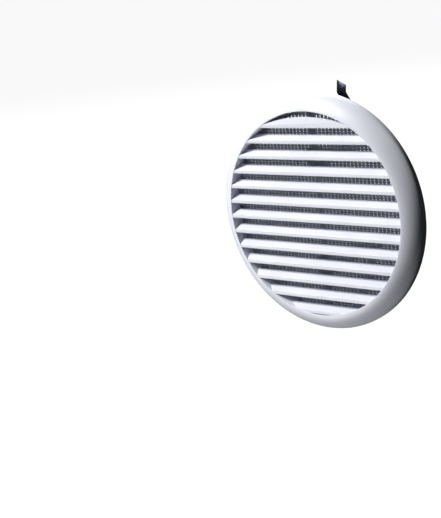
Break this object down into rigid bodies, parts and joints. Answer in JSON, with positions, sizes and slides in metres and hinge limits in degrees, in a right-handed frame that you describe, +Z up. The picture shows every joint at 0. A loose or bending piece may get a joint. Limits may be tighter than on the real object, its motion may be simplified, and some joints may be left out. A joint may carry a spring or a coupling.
{
  "type": "ventilation grille",
  "caption": "Round wall ventilation grille with fixed sloping blades, an insect net and two spring clips that grip inside a duct.",
  "frame": {"origin": "centre of the duct in the wall plane, where the rim's flat edge meets the wall", "axes": "+Y into the duct, +Z up, +X along the blades; the blades face -Y, into the room or the open air"},
  "size_m": [0.175, 0.0789, 0.1792],
  "materials": {
    "grille_plastic": "fine satin moulding",
    "net_plastic": "fine satin moulding",
    "spring_steel": "blued spring steel strip"
  },
  "bodies": {
    "grille": {"grille_body": "grille_plastic", "net_insert": "net_plastic", "upper_spring_leg": "spring_steel", "lower_spring_leg": "spring_steel"},
    "upper_arm": {"upper_spring_arm": "spring_steel"},
    "lower_arm": {"lower_spring_arm": "spring_steel"}
  },
  "joints": [
    {"name": "upper_spring_fold", "type": "hinge", "parent": "grille", "child": "upper_arm", "pos_m": [0, 0.06425, 0.04326], "axis": [1, 0, 0], "range_deg": [0, 42], "stiffness_Nm_per_rad": 0.3},
    {"name": "lower_spring_fold", "type": "hinge", "parent": "grille", "child": "lower_arm", "pos_m": [0, 0.06425, -0.04326], "axis": [-1, 0, 0], "range_deg": [0, 42], "stiffness_Nm_per_rad": 0.3}
  ]
}
